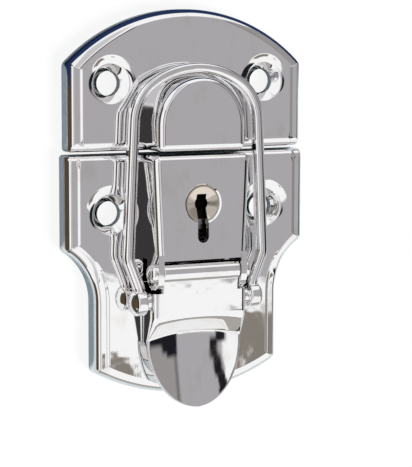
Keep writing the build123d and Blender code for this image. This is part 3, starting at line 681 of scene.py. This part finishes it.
def lever_skin(x, y):
    """Height of the lever's front: the flat, a slope that bends softly off it and meets the dish
    in a crisp arched line, and a dish: a parabola along the lever, and across it a hyperbola that
    ends in straight sides."""
    dish = DISH_LOW + (y - DISH_Y) ** 2 / DISH_LONG
    dish = dish + DISH_RISE * (np.sqrt(DISH_BEND ** 2 + x ** 2) - DISH_BEND)
    foot_y = np.sqrt(FOOT_R ** 2 - np.minimum(np.abs(x), FOOT_R - 1) ** 2) + FOOT_MIDDLE
    return dish + (FLAT - dish) * slope((y - foot_y) / (BEND - foot_y), 0.08, 0.4)


# Shares across the lever's front, closer together over its rounded edges.
across_front = np.concatenate((np.sin(np.linspace(-np.pi / 2, -1.1, 8)),
                               np.linspace(-0.88, 0.88, 36),
                               np.sin(np.linspace(1.1, np.pi / 2, 8))))


def lever_section(y, half, edge, wall, low):
    """Closed cross-section at y: the front from side to side with rounded edges, the outer walls
    down to `low`, and the back one sheet below, its walls drawn in by `wall`."""
    x = half * across_front
    near = np.clip(edge - (half - np.abs(x)), 0, edge)
    front = lever_skin(x, y) - edge + np.sqrt(np.maximum(edge ** 2 - near ** 2, 0))
    inner = max(half - wall, half * 0.5)
    back = lever_skin(inner * across_front[::-1], y) - LEVER_SHEET
    side = front[-1]
    bottom = min(low, side - 0.02)
    drop = np.linspace(side, bottom + 0.1, 7)[1:]
    outer_wall = np.column_stack((np.full(6, half), drop))
    foot_edge = np.array([(half - 0.03, bottom + 0.03), (half - 0.1, bottom),
                          (inner + 0.1, bottom)])
    inner_wall = np.column_stack((np.full(4, inner), np.linspace(bottom + 0.1, back[0] - 0.05, 4)))
    right = np.vstack((outer_wall, foot_edge, inner_wall))
    left = right[::-1] * (-1, 1)
    loop = np.vstack((np.column_stack((x, front)), right,
                      np.column_stack((inner * across_front[::-1], back)), left))
    return np.column_stack((loop[:, 0], np.full(len(loop), y), loop[:, 1]))


def halfway(row, mirror):
    """Row whose point k is brought halfway to point mirror - k, across the sheet, which closes a
    hollow section at its end."""
    partner = (mirror - np.arange(len(row))) % len(row)
    return (row + row[partner]) / 2


def make_lever():
    """Channel and thumb tab as sections carried down the lever: the channel's edges grow sharper
    towards the tab, whose half width is an ellipse, HALF cos(angle) at TIP sin(angle)."""
    rows = []
    for y in list(np.linspace(NECK, BEND + 0.2, 9)) + list(np.linspace(BEND, TAB + 0.2, 46)):
        edge = 1.2 - 0.8 * smooth((-31.0 - y) / 3.5)
        toe = 1.6 - np.sqrt(max(1.6 ** 2 - max(1.6 - (NECK + 0.05 - y), 0) ** 2, 0))
        rows.append(lever_section(y, HALF, edge, LEVER_SHEET, LEVER_FOOT + toe))
    for angle in np.linspace(0.0, 0.497 * np.pi, 56):
        y = TAB + (TIP - TAB) * np.sin(angle)
        half = HALF * np.cos(angle)
        thin = smooth((TAB - y) / 0.4)
        low = LEVER_FOOT + (lever_skin(half, y) - 0.85 - LEVER_FOOT) * thin
        rows.append(lever_section(y, half, min(0.4, half * 0.5), 1.0 - 0.75 * thin, low))
    rows = np.array(rows)
    first = halfway(rows[0], rows.shape[1] - 14)
    last = rows[-1].mean(axis=0) * np.ones((rows.shape[1], 1))
    return lattice(np.concatenate(([first], rows, [last])))


# Rounded ends of the knuckle: distance in from an end, and the share of the sheet's thickness.
KNUCKLE_END = [(0, 0.0), (0, 0.6), (0.05, 0.85), (0.15, 0.96), (0.25, 1.0), (0.35, 1.0), (1, 1.0)]


def make_knuckle():
    """Rolled knuckle and its neck: the sheet's outer line runs off the flat and round the pin, its
    inner line follows one sheet inside, and both are carried across between rounded ends."""
    start = np.arcsin((FLAT - HINGE[1]) / KNUCKLE_R)
    round_pin = on_circle(np.linspace(np.pi - start, -np.pi + start + 0.22, 60))
    lead = np.array([(NECK, FLAT), (-25.0, FLAT), (-24.2, FLAT), (-23.6, FLAT)])
    outer = np.vstack((lead, HINGE + KNUCKLE_R * round_pin))
    inner = np.vstack((lead - (0, LEVER_SHEET), HINGE + (KNUCKLE_R - LEVER_SHEET) * round_pin))
    middle = (outer + inner) / 2
    left = [(-KNUCKLE_HALF + step, keep) for step, keep in KNUCKLE_END]
    rows = []
    for x, keep in left + [(-x, keep) for x, keep in left[::-1]]:
        loop = np.vstack((middle + (outer - middle) * keep,
                          (middle + (inner - middle) * keep)[::-1]))
        rows.append(np.column_stack((np.full(len(loop), x), loop)))
    return lattice(np.array(rows))


piece("thumb_lever", [make_lever(), make_knuckle()], "lever", "lever", 45)


# ---- bail -----------------------------------------------------------------------------
EYE = np.array((11.925, -27.2, 7.35))
EYE_BORE, EYE_R = 1.55, 2.5
BAR_WIDE, BAR_DEEP, BAR_POWER = 1.075, 1.25, 2.7    # half sizes of the bar and how square it is
JOG, KNEE = (EYE[0], -24.5), (14.1, -18.9)          # corners of the leg above an eye
SHOULDER, SHOULDER_R = np.array((4.05, 6.649)), 8.9
CROWN, CROWN_R = np.array((0, 0.575)), 16.2


def bail_line():
    """Centre line of the bail in plan: from each eye a short neck, an outward jog, a splayed leg
    that meets the shoulder arc where it is tangent to it, and half of the crown arc; the other
    half mirrors it."""
    reach = np.array(KNEE) - SHOULDER
    start = np.arctan2(reach[1], reach[0]) + np.arccos(SHOULDER_R / np.hypot(*reach))
    end = np.arctan2(SHOULDER[1] - CROWN[1], SHOULDER[0])
    curve = SHOULDER + SHOULDER_R * on_circle(np.linspace(start, end, 26))
    top = CROWN + CROWN_R * on_circle(np.linspace(end, np.pi / 2, 22)[1:])
    leg = rounded([(EYE[0], EYE[1] + 1.7), JOG, KNEE, curve[0]], (3.5, 3.5), 14)[:-1]
    middle = leg[-1] + (curve[0] - leg[-1]) * np.linspace(0, 1, 14)[1:-1, None]
    half = np.vstack((leg, middle, curve, top))
    return np.vstack((half, half[-2::-1] * (-1, 1)))


def make_bail():
    """Bar with a rounded cross-section, |x/a|^p + |z/b|^p = 1 where p is BAR_POWER, carried along
    the bail's line square to it, and drawn to a point in the wall of each eye. Each eye is a ring
    with rounded rims, turned round the rivet."""
    line = bail_line()
    ahead = np.gradient(line, axis=0)
    across = np.stack((ahead[:, 1], -ahead[:, 0]), axis=1) / np.hypot(*ahead.T)[:, None]
    c, s = on_circle(np.linspace(0, 2 * np.pi, 36, endpoint=False)).T
    wide = BAR_WIDE * np.sign(c) * np.abs(c) ** (2 / BAR_POWER)
    deep = BAR_DEEP * np.sign(s) * np.abs(s) ** (2 / BAR_POWER)
    size = np.ones(len(line))
    size[[0, -1]] = 0
    flat = line[:, None, :] + across[:, None, :] * (wide * size[:, None])[:, :, None]
    parts = [lattice(np.dstack((flat, EYE[2] + deep * size[:, None])))]
    ring = rounded([(EYE_BORE, 0), (EYE_BORE, BAR_WIDE), (EYE_R, BAR_WIDE), (EYE_R, -BAR_WIDE),
                    (EYE_BORE, -BAR_WIDE), (EYE_BORE, 0)], (0.12, 0.4, 0.4, 0.12), 7)
    eye = spin(ring, 0, 0, 48)
    for side in (-1, 1):
        parts.append(lattice(np.stack((side * EYE[0] + eye[:, :, 2], EYE[1] + eye[:, :, 0],
                                       EYE[2] + eye[:, :, 1]), axis=-1)))
    return parts


piece("bent_bail", make_bail(), "bail", "bail", 50)
